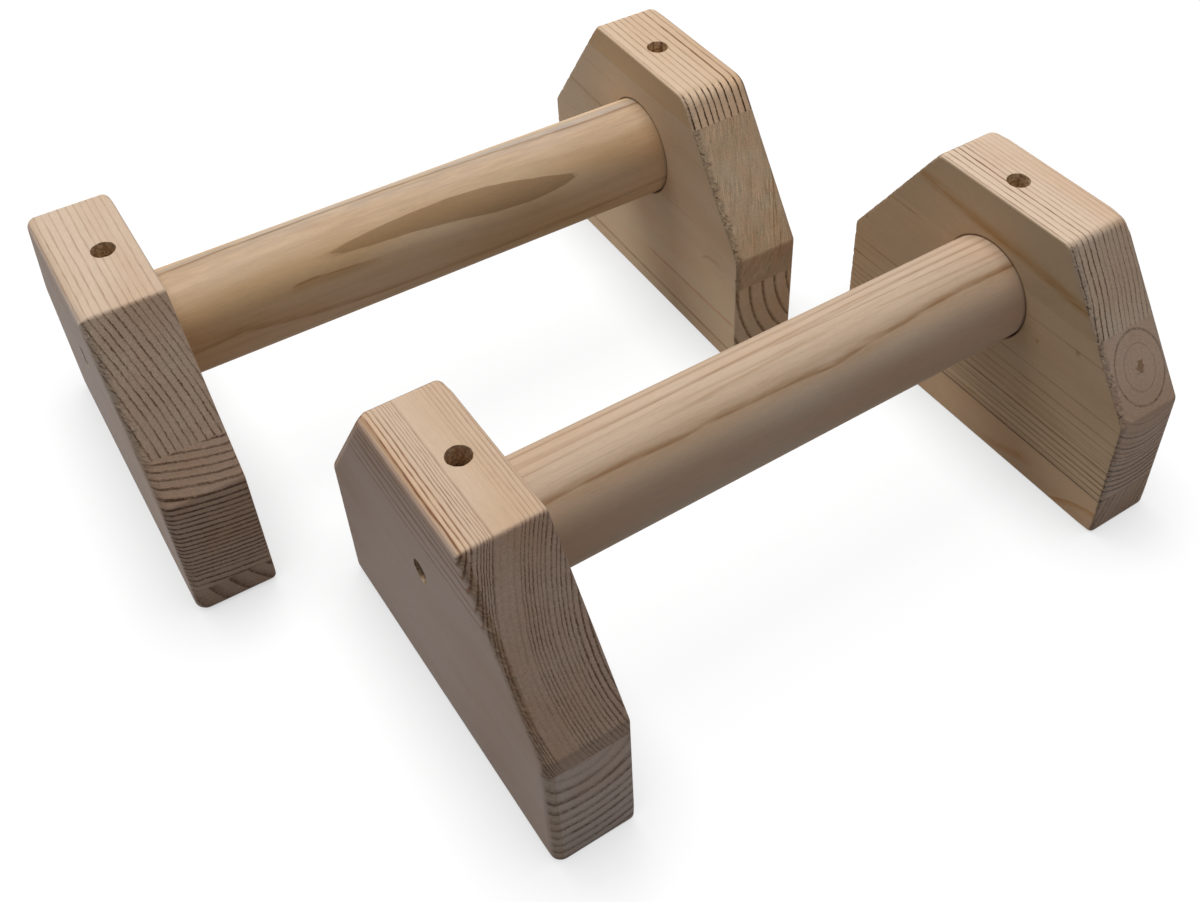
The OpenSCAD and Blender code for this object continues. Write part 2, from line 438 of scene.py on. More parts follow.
class Shader:
    """Short way to write the nodes of a material or world. Most methods return an output socket."""

    def __init__(self, name, owners="materials", output="OutputMaterial"):
        self.owner = getattr(bpy.data, owners).new(name)
        self.owner.use_nodes = True
        self.tree = self.owner.node_tree
        self.tree.nodes.clear()
        self.out = self.node(output)

    def node(self, kind, inputs=(), **settings):
        """The node itself."""
        made = self.tree.nodes.new("ShaderNode" + kind)
        for key, value in settings.items():
            setattr(made, key, value)
        for key, value in dict(inputs).items():
            self.feed(made.inputs[key], value)
        return made

    def feed(self, socket, value):
        if isinstance(value, bpy.types.NodeSocket):
            self.tree.links.new(value, socket)
        else:
            socket.default_value = value

    def math(self, op, a, b=0, c=0, clamp=False):
        return self.node("Math", {0: a, 1: b, 2: c}, operation=op, use_clamp=clamp).outputs[0]

    def plus(self, a, b):
        return self.math("ADD", a, b)

    def minus(self, a, b):
        return self.math("SUBTRACT", a, b)

    def times(self, *values):
        total = values[0]
        for value in values[1:]:
            total = self.math("MULTIPLY", total, value)
        return total

    def length(self, a, b):
        return self.math("SQRT", self.plus(self.times(a, a), self.times(b, b)))

    def vary(self, base, texture, amount):
        """Number moved up and down by a texture's distance from its middle."""
        return self.math("MULTIPLY_ADD", self.minus(texture, .5), amount, base)

    def scale(self, vector, by):
        return self.node("VectorMath", {0: vector, 1: by}, operation="MULTIPLY").outputs[0]

    def noise(self, vector, scale, detail=2, rough=.5):
        inputs = {"Vector": vector, "Scale": scale, "Detail": detail, "Roughness": rough}
        return self.node("TexNoise", inputs).outputs["Fac"]

    def range(self, value, low, high, to_low=0, to_high=1, kind="LINEAR"):
        inputs = {"Value": value, "From Min": low, "From Max": high, "To Min": to_low, "To Max": to_high}
        return self.node("MapRange", inputs, interpolation_type=kind).outputs["Result"]

    def ease(self, value, low, high, to_low=0, to_high=1):
        """Like range, with soft ends."""
        return self.range(value, low, high, to_low, to_high, "SMOOTHSTEP")

    def mix(self, factor, a, b, blend="MIX"):
        made = self.node("Mix", data_type="RGBA", blend_type=blend)
        for index, value in (("Factor", factor), (6, a), (7, b)):
            self.feed(made.inputs[index], value)
        return made.outputs[2]

    def blend(self, factor, a, b):
        """Number between a and b."""
        made = self.node("Mix", data_type="FLOAT")
        for index, value in ((0, factor), (2, a), (3, b)):
            self.feed(made.inputs[index], value)
        return made.outputs[0]

    def rgb(self, *levels):
        return self.node("CombineColor", dict(enumerate(levels))).outputs[0]

    def tinted(self, colour, tint):
        return self.mix(1, colour, tint[:3] + (1,) if isinstance(tint, tuple) else tint, "MULTIPLY")

    def stain(self, mask, colour, tint):
        """Colour that takes a tint where the mask is 1."""
        return self.mix(mask, colour, self.tinted(colour, tint))

    def split(self, vector):
        """The three outputs for x, y and z."""
        return self.node("SeparateXYZ", {0: vector}).outputs

    def join(self, x, y, z):
        return self.node("CombineXYZ", {0: x, 1: y, 2: z}).outputs[0]

    def curve(self, value, points):
        """Straight-line graph through (x, y) points; y may be anything."""
        xs, ys = [p[0] for p in points], [p[1] for p in points]
        low, high = min(ys), max(ys)
        span = (high - low) or 1
        made = self.node("FloatCurve")
        graph = made.mapping.curves[0]
        unit = [((x - xs[0]) / (xs[-1] - xs[0]), (y - low) / span) for x, y in points]
        graph.points[0].location, graph.points[1].location = unit[0], unit[-1]
        for place in unit[1:-1]:
            graph.points.new(*place)
        for point in graph.points:
            point.handle_type = "VECTOR"
        made.mapping.update()
        self.feed(made.inputs["Value"], self.range(value, xs[0], xs[-1]))
        return self.math("MULTIPLY_ADD", made.outputs[0], span, low)

    def ramp(self, value, stops):
        """Grey ramp through (position, level) stops."""
        made = self.node("ValToRGB", {"Fac": value})
        elements = made.color_ramp.elements
        while len(elements) < len(stops):
            elements.new(.5)
        for element, (position, level) in zip(elements, stops):
            element.position = position
            element.color = (level, level, level, 1)
        return made.outputs["Color"]

    def coordinates(self):
        """Place in the object in mm, and the normal."""
        coords = self.node("TexCoord").outputs
        return self.scale(coords["Object"], (1000, 1000, 1000)), coords["Normal"]

    def finish(self, surface):
        """The material or world itself."""
        self.tree.links.new(surface, self.out.inputs["Surface"])
        return self.owner

    def principled(self, colour, rough, bump, **more):
        """The material itself; bump is its height, strength and distance."""
        normal = self.node("Bump", dict(zip(("Height", "Strength", "Distance"), bump))).outputs[0]
        look = {"Base Color": colour, "Roughness": rough, "Normal": normal, **more}
        return self.finish(self.node("BsdfPrincipled", look).outputs[0])


# Wood

# Darkness across one ring, from just outside the last dark line to the next
THIN_LINES = [(0, 1), (.06, .2), (.12, 0), (.58, 0), (.72, .3), (.84, 1), (1, 1)]
FINE_LINES = [(0, 1), (.04, .15), (.08, 0), (.7, 0), (.82, .35), (.91, 1), (1, 1)]
SOFT_LINES = [(0, .9), (.08, .3), (.2, 0), (.5, 0), (.75, .5), (.9, 1), (1, 1)]
BROAD_LINES = [(0, .5), (.02, 0), (.45, .05), (.8, .6), (.88, 1), (1, 1)]

# How wood looks unless its own entry says otherwise. Triples are for sides (they look along the handle),
# tops and end grain; the three tones hold the wood's own colour together with painted light and shade, how
# brightly each kind of face of each piece was lit; torn is for the outer and inner arris; fade is a graph
# over height of the lines, and the other graph over height is painted bounce light that makes sides lighter
# low down.
PLAIN = dict(
    pale=(224, 199, 174), warm=(218, 188, 159), dark=(148, 104, 74), end_dark=(116, 84, 59),
    contrast=(.5, .5, 1), relief=(.12, .2, .6), side_tone_and_light=(1, 1, 1), top_tone_and_light=(1, 1, 1),
    end_tone_and_light=(.86, .86, .86), wander=.6, ripple=.5, beads=.4, streaks=.08, patchy=.2,
    end_grain=(.25, .65), torn=(.5, .5), saw=0, pith_mark=0, profile=THIN_LINES, fade=(), painted_bounce=(),
    marks=())

# Textures along the grain: scale across it and along it per mm, then detail and roughness
SLOW_WANDER = (.035, .011, 1.5)
FINE_WANDER = (.3, .05, 3, .6)
BEADS = (1.1, .12)
BREAKS = (1.3, .12)
UNEVEN = (.16, .02, 1)
MARK_BREAKS = (.7, .08)
FIBRE = (2.6, .06, 3, .6)
DASH = (1.7, .3, 2, .6)
STREAK = (.55, .012)
MOTTLE = (.5, .2, 3, .6)
CLOUD = (.045, .012)
DUCT = (1.9, .09, 1)
# Textures without a grain: scale per mm, then detail and roughness
PATCH = (.15, 3, .6)
RAGGED = (.35, 3, .6)
BLOT = (.45, 3, .7)
SAW_PATCH = (.11, 1)
CRUMBS = (.9, 2)

# How strongly the textures shade and raise sides, tops and end grain
FIBRE_SHADE = (.15, .18, .8)
DASH_SHADE = (.16, .2, .34)
MOTTLE_SHADE = (.05, .05, .16)
END_STREAKS = .05
FIBRE_RELIEF = (.14, .16, .25)
DUCT_SHADE = .88
TORN_SHADE = .8
TORN_RELIEF = 1.6
TORN_WANDER = 5
TORN_REACH = 3.6
PATCH_TINT = (.02, -.045, -.07)
# Bump: strength and distance (m). Roughness: of plain wood, of a dark line, and how far fibres change it
BUMP = (.85, .00024)
ROUGH, LINE_ROUGH, FIBRE_ROUGH = .66, .54, .12
SPECULAR = .22

HOLE_TINT = (.74, .67, .52, 1)
HOLE_TINT_LIGHT = (1.2, 1.22, 1.14, 1)
# Painted shade in the gap round a handle at its socket's mouth
MOUTH_PAINTED_SHADE = (.3, .22, .15)
PITH_TINT = (.62, .53, .43)
PALE_FIBRE = (206, 178, 146)
DARK_FIBRE = (104, 79, 58)


class Place:
    """Where a point of a piece lies in its bar, in mm, and which way its face looks."""

    def __init__(self, s, along_x, end_grain):
        self.s = s
        self.mm, normal = s.coordinates()
        self.x, self.y, self.z = s.split(self.mm)
        self.a, self.b, self.g = (self.y, self.z, self.x) if along_x else (self.x, self.z, self.y)
        self.grain = s.join(self.a, self.b, self.g)
        if along_x:
            self.end = self.top = None
            return
        _, ny, nz = s.split(normal)
        self.end = s.ease(s.math("ABSOLUTE", ny), *end_grain)
        upward = s.ease(s.math("ABSOLUTE", nz), .5, .8)
        self.top = s.times(upward, s.minus(1, self.end))

    def texture(self, across, along, detail=2, rough=.5):
        """Noise that is drawn out along the grain."""
        return self.s.noise(self.s.scale(self.grain, (across, across, along)), 1, detail, rough)

    def by_face(self, values):
        """Number that changes between the three kinds of face."""
        side, top, end = values
        if self.end is None:
            return side
        return self.s.blend(self.end, self.s.blend(self.top, side, top), end)

    def tone(self, spec):
        """Colour multiplier that changes between the three kinds of face: the wood's own tone and painted
        light and shade.
        """
        side, top, end = (tuple(spec[key]) + (1,) for key in ("side_tone_and_light", "top_tone_and_light", "end_tone_and_light"))
        if self.end is None:
            return side
        return self.s.mix(self.end, self.s.mix(self.top, side, top), end)

    def only(self, face):
        """Mask of one kind of face."""
        return self.by_face([float(face == name) for name in ("side", "top", "end")])

    def degrees_round(self):
        """Angle round a handle: 0 looks at the viewer's side, 90 up."""
        s = self.s
        angle = s.math("ARCTAN2", s.minus(self.z, HANDLE_Z), s.times(self.y, -1))
        return s.math("DEGREES", angle)


def ring_radius(s, p, spec):
    """Distance from the pith, with the rings' wander along the grain."""
    pith_a, pith_b = spec["pith"]
    da, db = s.minus(p.a, pith_a), s.minus(p.b, pith_b)
    if "bend" in spec:
        da = s.minus(da, s.curve(p.b, spec["bend"]))
    if "squeeze" in spec:
        top, bottom, much = spec["squeeze"]
        da = s.times(da, s.ease(p.b, top, bottom, 1, much))
    if "twist" in spec:
        turn = s.curve(p.g, [(x, math.radians(angle)) for x, angle in spec["twist"]])
        about_axis = s.join(p.g, p.a, s.minus(p.b, HANDLE_Z))
        turned = s.node("VectorRotate", {"Vector": about_axis, "Angle": turn}, rotation_type="X_AXIS")
        _, ta, tb = s.split(turned.outputs[0])
        da, db = s.minus(ta, pith_a), s.minus(tb, pith_b)
    r = s.vary(s.length(da, db), p.texture(*SLOW_WANDER), 2 * spec["wander"])
    r = s.vary(r, p.texture(*FINE_WANDER), spec["ripple"])
    if p.end:
        r = s.vary(r, p.texture(*BEADS), spec["beads"])
    if "drift" in spec:
        r = s.plus(r, s.curve(p.g, spec["drift"]))
    return r


def column(rows, i):
    """The first and the ith number of each row."""
    return [(row[0], row[i]) for row in rows]


def growth_rings(s, p, spec, r):
    """Darkness of the ring lines. Phase counts the rings; each has a weight on end and on flat grain."""
    rings = [(ring + ring[-1:])[:3] for ring in spec["rings"]]
    phase = s.curve(r, [(ring[0], i) for i, ring in enumerate(rings)])
    line = s.ramp(s.math("FRACT", s.plus(phase, 1e-4)), spec["profile"])
    on_end, on_flat = s.curve(r, column(rings, 1)), s.curve(r, column(rings, 2))
    line = s.times(line, s.blend(p.end, on_flat, on_end) if p.end else on_flat, p.by_face(spec["contrast"]))
    if spec["fade"]:
        line = s.times(line, s.blend(p.only("side"), 1, s.curve(p.b, spec["fade"])))
    if not p.end:
        return line
    broken = s.range(p.texture(*BREAKS), .3, .6, .5, 1.15)
    uneven = s.range(p.texture(*UNEVEN), .35, .65, .7, 1.2)
    return s.times(line, broken, uneven)


def mark(s, p, face, path, up, down):
    """Band along a path of (along, across, strength) points, fading to nothing up above and down below it.

    Along and across are y and z on a side, y and x on a top, z and x on end grain, x and the angle on a
    handle, and y and z - x on the outer arris of a left block."""
    if face == "round":
        along, across = p.x, p.degrees_round()
    elif face == "arris":
        along, across = p.y, s.minus(p.z, p.x)
    else:
        along, across = {"side": (p.y, p.z), "top": (p.y, p.x), "end": (p.z, p.x)}[face]
    off = s.minus(across, s.curve(along, column(path, 1)))
    band = s.times(s.ease(off, 0, up, 1, 0), s.ease(off, -down, 0))
    patchy = s.range(p.texture(*MARK_BREAKS), .32, .6, .55, 1.15)
    band = s.times(band, patchy, s.curve(along, column(path, 2)))
    if face == "round":
        return band
    return s.times(band, s.minus(1, p.end) if face == "arris" else p.only(face))


def torn_fibres(s, p, torn):
    """Mask of the torn band along a block's outer and inner arrises, and the chips in it."""
    outer, inner = torn
    ragged = s.noise(p.mm, *RAGGED)
    depth = s.minus(s.math("ABSOLUTE", p.x), GRIP / 2)
    near_inner = s.ease(s.vary(depth, ragged, TORN_WANDER), 0, TORN_REACH, inner, 0)
    near_outer = s.ease(s.vary(depth, ragged, -TORN_WANDER), BLOCK_T - TORN_REACH, BLOCK_T, 0, outer)
    combed = s.math("MULTIPLY_ADD", p.x, .5, p.z)
    chips = s.noise(s.join(s.times(p.x, .6), 0, s.times(combed, 1.3)), 1, 3, .6)
    return s.times(s.math("MAXIMUM", near_inner, near_outer), p.end), chips


def saw_marks(s, p):
    """Slanting fuzzy streaks that a saw leaves across end grain."""
    across = s.plus(s.times(p.a, .94), s.times(p.b, -.34))
    along = s.plus(s.times(p.a, .34), s.times(p.b, .94))
    streaks = s.noise(s.scale(s.join(across, along, 0), (1.7, .13, 1)), 1, 4, .78)
    patches = s.range(s.noise(p.mm, *SAW_PATCH), .4, .6, .3, 1)
    return s.times(s.minus(streaks, .5), p.end, patches)


def wood_colour(s, p, spec, r, line):
    """Clouds of pale and warm wood, toned per kind of face (own colour and painted light), with the ring
    lines and the pith.
    """
    pale, warm, dark, end_dark = (linear(spec[key]) for key in ("pale", "warm", "dark", "end_dark"))
    colour = s.mix(s.range(p.texture(*CLOUD), .42, .66), pale, warm)
    # Each kind of face takes its tone: the wood's own colour and painted light and shade
    colour = s.tinted(colour, p.tone(spec))
    if p.end:
        patch = s.times(s.range(s.noise(p.mm, *PATCH), .4, .6, -1, 1), p.end, spec["patchy"])
        tint = (s.math("MULTIPLY_ADD", patch, share, 1) for share in PATCH_TINT)
        colour = s.tinted(colour, s.rgb(*tint))
        dark = s.mix(p.end, dark, end_dark)
    colour = s.mix(s.math("MULTIPLY", line, 1, clamp=True), colour, dark)
    if spec["pith_mark"]:
        blot = s.vary(r, s.noise(p.mm, *BLOT), 5)
        heart = s.ease(blot, spec["pith_mark"] - 1, spec["pith_mark"], 1, 0)
        colour = s.stain(heart, colour, PITH_TINT)
    return colour


def wood_shade(s, p, spec, fibre, torn_band):
    """Lightness of the wood: its fibres, ducts and saw marks, the torn band, which is darker, and painted
    bounce light low on sides.
    """
    shade = 1
    for texture, strengths in (
        (fibre, FIBRE_SHADE),
        (p.texture(*DASH), DASH_SHADE),
        (p.texture(*STREAK), (spec["streaks"], spec["streaks"], END_STREAKS)),
        (p.texture(*MOTTLE), MOTTLE_SHADE),
    ):
        shade = s.vary(shade, texture, p.by_face(strengths))
    ducts = s.ease(p.texture(*DUCT), .7, .76)
    shade = s.times(shade, s.range(ducts, 0, 1, 1, DUCT_SHADE))
    # Painted bounce light: sides made lighter towards the floor
    if spec["painted_bounce"]:
        shade = s.times(shade, s.blend(p.only("side"), 1, s.curve(p.z, spec["painted_bounce"])))
    if spec["saw"]:
        shade = s.plus(shade, s.times(saw_marks(s, p), spec["saw"]))
    if p.end:
        shade = s.times(shade, s.range(torn_band, 0, 1, 1, TORN_SHADE))
    return shade


def in_holes(s, p, side, pale, colour):
    """Colour with painted shade in the gap round the handle at its socket's mouth, and with the walls of the
    two counterbores.
    """
    axis = lock_axis(side)
    up = s.minus(p.z, HANDLE_Z)
    centres = (s.minus(p.x, axis.x), s.minus(p.y, axis.y)), (p.y, up), (s.plus(p.y, MOUTH_OFF), up)
    lock, end, rim = (s.length(u, v) for u, v in centres)
    wall = s.range(s.math("MINIMUM", lock, end), CBORE_R + .05, CBORE_R + .3, 1, 0)
    inner = s.range(s.math("ABSOLUTE", p.x), GRIP / 2 + 2, GRIP / 2 + 3, 1, 0)
    mouth_r = SOCKET_R + MOUTH_GAP
    mouth = s.times(inner, s.range(rim, mouth_r, mouth_r + .6, 1, 0))
    # Painted shade: a dark ring in the gap round the handle at the socket's mouth
    colour = s.stain(s.times(mouth, p.only("side")), colour, MOUTH_PAINTED_SHADE)
    crumbs = s.range(s.noise(p.mm, *CRUMBS), .4, .6)
    inside = s.mix(crumbs, HOLE_TINT, HOLE_TINT_LIGHT)
    return s.mix(wall, colour, s.tinted(s.mix(.5, colour, pale), inside))


def wood(name, spec):
    """Pine with growth rings about its own pith; spec is an entry of BOARDS or HANDLES."""
    spec = {**PLAIN, **spec}
    s = Shader(name)
    p = Place(s, "drift" in spec, spec["end_grain"])
    r = ring_radius(s, p, spec)
    line = growth_rings(s, p, spec, r)
    fibre = p.texture(*FIBRE)
    band, chips = torn_fibres(s, p, spec["torn"]) if p.end else (None, None)
    shade = wood_shade(s, p, spec, fibre, band)
    colour = s.tinted(wood_colour(s, p, spec, r, line), s.rgb(shade, shade, shade))
    height = s.plus(s.times(line, p.by_face(spec["relief"])), s.times(fibre, p.by_face(FIBRE_RELIEF)))
    for face, up, down, tint, path in spec["marks"]:
        colour = s.stain(mark(s, p, face, path, up, down), colour, tint)
    if p.end:
        height = s.math("MULTIPLY_ADD", s.times(band, chips), TORN_RELIEF, height)
        colour = s.mix(s.times(band, s.range(chips, .55, .64), .5), colour, linear(PALE_FIBRE))
        colour = s.mix(s.times(band, s.range(chips, .36, .46, 1, 0), .6), colour, linear(DARK_FIBRE))
    if "side" in spec:
        colour = in_holes(s, p, spec["side"], linear(spec["pale"]), colour)
    rough = s.vary(s.range(line, 0, 1, ROUGH, LINE_ROUGH), fibre, FIBRE_ROUGH)
    return s.principled(colour, rough, (height, *BUMP), **{"Specular IOR Level": SPECULAR})


# x of the left side of a left and of a right block
LEFT_OF = {LEFT: -GRIP / 2 - BLOCK_T, RIGHT: GRIP / 2}
# Painted bounce light: the inner faces of the right blocks are made lighter towards the floor
PAINTED_BOUNCE = {"front": [(0, 1.3), (18, 1.22), (34, 1.08), (60, .98), (110, .87)],
        "rear": [(0, 1.45), (25, 1.32), (60, 1), (110, .82)]}
NO_LINES = [(0, 0), (110, 0)]
GLUE_GAP = .05
OPEN_GLUE_GAP = .22
LINE_END = 6
SEED_STEP = 17

# Tints of marks
BROWN = (.66, .54, .41)
ORANGE = (.82, .66, .47)
FAINT = (.84, .76, .66)
DARK = (.52, .45, .36)
GLUE = (.3, .22, .16)


def level_line(z, strength, y0=72, y1=-72, drop=0, tint=BROWN, up=.85, down=.45):
    """Mark of one dark line along a side face from y0 to y1, with soft ends."""
    near, far = (y1 - LINE_END, z - drop, 0), (y0 + LINE_END, z, 0)
    return ("side", up, down, tint, [near, (y1, z - drop, strength), (y0, z, strength), far])


def scratch(z0, x0, z1, x1, strength=.9):
    """Mark of one slanting line that a saw left on a slope."""
    path = [(z0, x0, 0), (z0 + 3, x0 + 1.2, strength), (z1 - 3, x1 - 1.2, strength), (z1, x1, 0)]
    return ("end", .7, .45, BROWN, path)


def spot(y, z, size):
    """Mark of one small dark dot on a side face."""
    return ("side", size, size, BROWN, [(y - size, z, 0), (y, z, 1), (y + size, z, 0)])


# Each board: the heights it lies between, its pith (x from the block's left side, and z), its rings (radius,
# darkness on end grain, and on flat grain where that is another) and its marks: a kind of face, how far they
# fade up and down, a tint and a path.
BOARDS = {}

BOARDS["front_left_top_board"] = dict(
    between=(49, None), pith=(72.3, 74.3), end_tone_and_light=(.72, .66, .66), side_tone_and_light=(.88, .89, .985),
    top_tone_and_light=(1, .97, .92), torn=(1.4, .3), contrast=(1.3, 1, 1), relief=(.1, .4, .8),
    fade=[(49, 0), (84, 0), (89, .8), (110, 1)],
    rings=[(43, .9, .4), (44.7, .9), (46.5, 1, .5), (48.4, .9), (49.9, .8), (51.3, .75), (52.5, .6, .3),
        (54, .7, .3), (55.8, .6, .35), (57, .7, .4), (58.1, .6, .35), (59.4, .8, .45), (60.5, .7, .4),
        (61.7, .7, .4), (62.7, .5, .25), (64.8, .2, 0), (66.6, .1, 0), (68.6, .1, 0), (70.7, .6, .55),
        (71.5, .8, .6), (72.2, .9, .6), (73, 1, .65), (73.8, 1, .7), (74.8, 1, .75), (76.4, 1, .85),
        (77.7, 1, .85), (78.9, 1, .9), (80, 1, .8), (81.2, 1, .9), (82.6, 1), (84, 1)],
    marks=[("end", .8, 9, (.84, .76, .66), [(56, -126.6, 0), (70, -126.6, .9), (110, -126.4, 1)]),
        # Painted highlight: a lighter band along the rounded outer arris
        ("arris", 2.5, 4, (1.06, 1.02, .99), [(-40, 236.8, 1), (40, 236.8, 1)]),
        ("side", .9, .5, BROWN, [(-36, 108.7, .7), (36, 108.9, .8)]),
        ("side", .9, .6, BROWN, [(-36, 107.3, .5), (0, 107.2, .8), (36, 107.5, .6)]),
        ("side", .7, .5, BROWN, [(-36, 105.5, .6), (36, 105.8, .7)]),
        ("side", .6, .5, BROWN, [(-38, 103.7, .4), (0, 103.5, .6), (38, 103.9, .5)]),
        ("side", .7, .6, BROWN, [(-40, 101.6, .5), (40, 101.9, .6)]),
        ("side", .6, .5, FAINT, [(-42, 99.4, .7), (42, 99.6, .5)]),
        ("top", .8, .6, BROWN, [(-34, -127.2, .8), (34, -127.4, .8)])])

BOARDS["front_left_foot_board"] = dict(
    between=(0, 49), pith=(12.1, 57.5), end_tone_and_light=(.95, .98, 1.09), side_tone_and_light=(.88, .89, .985),
    torn=(.5, .15), profile=SOFT_LINES, contrast=(.2, .4, 1), relief=(.1, .2, 1.2), beads=.8, fade=NO_LINES,
    rings=[(5, .2), (9.5, .2), (14.2, .3), (19.4, .7), (25.5, 1), (30.8, 1), (35.8, .6), (39.9, .8),
        (44.3, 1), (48.7, .7), (52.9, 1), (56.9, .9), (61, .8)],
    marks=[("end", .4, 9, (.86, .82, .74), [(0, -125.9, 1), (49, -125.9, 1)])])

BOARDS["front_right_top_board"] = dict(
    between=(81, None), pith=(-69.8, 96), end_tone_and_light=(1.03, 1.01, 1), side_tone_and_light=(.9, .86, .73),
    top_tone_and_light=(1.16, 1.16, 1.16), torn=(.3, 1.6), fade=NO_LINES, contrast=(.5, .92, 1.35), beads=.5,
    relief=(.12, .1, .2), end_dark=(112, 82, 58), profile=FINE_LINES,
    bend=[(81, -1.5), (87, -1.3), (91, -.7), (95, -.3), (102, 0), (110, 1.2)],
    rings=[(60, .5), (66.4, .5), (68.9, .7), (71.3, .8, .7), (73.6, .9), (76.2, 1), (78.5, 1, 1.2),
        (81, .8, .6), (83, .35, .5), (85.2, .7, .5), (87.1, .35, .4), (89, .5, .4), (91.2, .6, .3),
        (93.4, .6, .3), (95.5, .5, .4), (97.6, .5, .3), (100, .8)],
    marks=[("side", 4.4, 3.4, ORANGE,
            [(-56, 88.5, 0), (-46, 90, .8), (-36, 90.7, 1), (-17, 93.2, .8), (0, 93.9, 1), (18, 95.7, .6),
             (38, 97.8, .8), (50, 99.2, 0)]),
        ("side", .6, .6, FAINT,
            [(-48, 88.9, 0), (-40, 90, .8), (-30, 91.2, .2), (-8, 93.6, .7), (4, 94.2, .1), (20, 95.6, .7),
             (34, 97.3, 0)])])

BOARDS["front_right_middle_board"] = dict(
    between=(17, 81), pith=(15, 69.1), end_tone_and_light=(.94, .86, .84), side_tone_and_light=(.98, .93, .79),
    squeeze=(60, 42, 1.25), wander=.8, torn=(.3, 1.9), fade=[(17, .7), (34, .6), (40, .25), (81, 0)],
    pith_mark=2.2, relief=(.12, .2, .3), beads=.4, contrast=(.5, .5, 1.5), end_dark=(98, 74, 56),
    rings=[(0, 0), (1.2, 0), (5.6, 0), (7.2, .18), (9.6, 0), (11.4, .4), (16, 0), (17.8, .3), (22.4, .1),
        (24.4, .75), (27.6, .2), (29.6, .95), (31.9, .4), (33.6, .9), (35.2, .5), (37.1, 1), (40, 1),
        (42.5, 1), (44.8, 1), (47.5, 1), (49.8, 1), (55, .9), (61, .9)],
    marks=[level_line(*line) for line in (
        (78.7, .65, 56, 40), (72.2, .6, -24, -58, -.6), (49, .65, 64, 42), (41.5, .85, 72, 56),
        (51.9, .65, -10, -66, -.5), (45, .7, -6, -70, -.6), (41, .7, -8, -70, -.6), (38, .5, -8, -70, -.6),
        (34.8, .5, 0, -70, -.8), (30.8, 1, 8, -70, -1.2, DARK), (27.3, .8, 12, -70, -1.2, DARK),
        (24.3, .85, 20, -70, -1.2, DARK), (21.9, .7, 24, -70, -1.3, DARK), (19.2, 1, 30, -70, -1, DARK),
        (17.3, 1, 72, -72, 0, GLUE, .5, .5))
    ] + [spot(-28, 64.4, 1.3), spot(64.5, 61.3, 1), spot(-45.5, 71.9, 1.5)])

BOARDS["front_right_foot_board"] = dict(
    between=(0, 17 - OPEN_GLUE_GAP), pith=(-230.8, 97), end_tone_and_light=(.84, .75, .71), side_tone_and_light=(1.03, .92, .76),
    torn=(.2, 1), fade=NO_LINES, contrast=(.5, .5, .85),
    rings=[(240, .6), (246, .6), (249.5, .8), (252.6, 1), (255.5, .4), (258.6, .5), (260.9, .4), (262.8, .4),
        (265.2, .7), (267.9, .8), (270.9, .8), (274, .8)],
    marks=[("end", .7, .9, (.6, .5, .4), [(0, 99.9, .9), (14, 105.6, .9), (17, 106.8, .5)]),
        ("end", .8, .8, BROWN, [(2, 120, .3), (17, 125.5, .7)]),
        ("end", .8, .8, BROWN, [(2, 122.6, .2), (17, 128.2, .6)]),
        ("side", .8, 3.5, ORANGE,
            [(-74, 10.5, 1), (-66, 9.5, 1), (-58, 6.5, 1), (-50, 1.5, .9), (-46, -2, 0)]),
        ("side", 3.5, 3.5, ORANGE, [(-40, 9, 0), (-32, 8, .8), (-20, 4, .6), (-8, 1, 0)])])

BOARDS["rear_left_top_board"] = dict(
    between=(69, None), pith=(-243.4, 19.9), end_tone_and_light=(.86, .835, .82), side_tone_and_light=(1.01, 1.04, 1.15),
    top_tone_and_light=(1.01, 1.01, 1.01), torn=(1.9, .25), contrast=(.3, .46, .85), profile=FINE_LINES, beads=.7,
    rings=[(240, .8), (243, .8), (246, .8), (249, .8), (252.4, .8), (255.2, .85), (257.9, 1), (260.4, .9),
        (262.8, .9), (265.2, .9), (267.5, 1), (270.3, 1), (273.1, .9), (275.5, .9), (277.4, .8),
        (279.5, .9), (281.5, .7), (284, .7), (287, .7), (291, .7)])

BOARDS["rear_left_middle_board"] = dict(
    between=(12, 69), pith=(40.3, 202), end_tone_and_light=(.85, .78, .76), side_tone_and_light=(1.03, 1.06, 1.18),
    torn=(1.1, .2), contrast=(.15, .5, 1.3), relief=(.1, .2, 1), beads=.4, end_dark=(104, 76, 54),
    rings=[(132, .5), (134.3, .5), (136.6, .5), (138.9, .5), (141.2, .5), (143.5, .5), (146, .5),
        (149.3, .9), (152.3, 1), (154.8, 1), (157.1, 1), (159.1, 1), (161.4, 1), (163.9, 1), (166.2, 1),
        (168.2, 1), (170.4, 1), (172.2, 1), (174.1, 1), (176, 1), (178.2, 1), (180.1, 1), (182, .9),
        (183.9, .8), (185.7, .7), (188.3, .7), (191, .7), (194, .7)])

BOARDS["rear_left_foot_board"] = dict(
    between=(0, 12), pith=(53.5, 28.5), end_tone_and_light=(.8, .73, .71), side_tone_and_light=(1.03, 1.06, 1.18),
    torn=(.6, .2), profile=BROAD_LINES, contrast=(.15, .5, 1.1), beads=.8,
    rings=[(20, .8), (26, .8), (31.8, .9), (37.2, .9), (43.9, 1), (50.8, 1), (57.6, .9), (64, .8)])

BOARDS["rear_right_top_board"] = dict(
    between=(99, None), pith=(-96.3, 104.9), end_tone_and_light=(1.24, 1.18, 1.08), side_tone_and_light=(1.08, .98, .76),
    top_tone_and_light=(1.07, 1.03, .97), torn=(.2, 1.1), fade=NO_LINES, contrast=(.5, 1.05, 1.35),
    relief=(.1, .1, .02), dark=(132, 90, 58), end_dark=(82, 42, 8), beads=.25, profile=FINE_LINES,
    end_grain=(.08, .45),
    rings=[(94.5, .9, .3), (98, .9, .3), (100.9, 1, .5), (104, 1, .5), (106.6, 1, .4), (109.1, 1, .45),
        (111.8, 1, .5), (114.9, 1, .45), (118.2, 1, 1.2), (121.3, 1, .6), (124.3, 1, .5), (127.5, 1)])

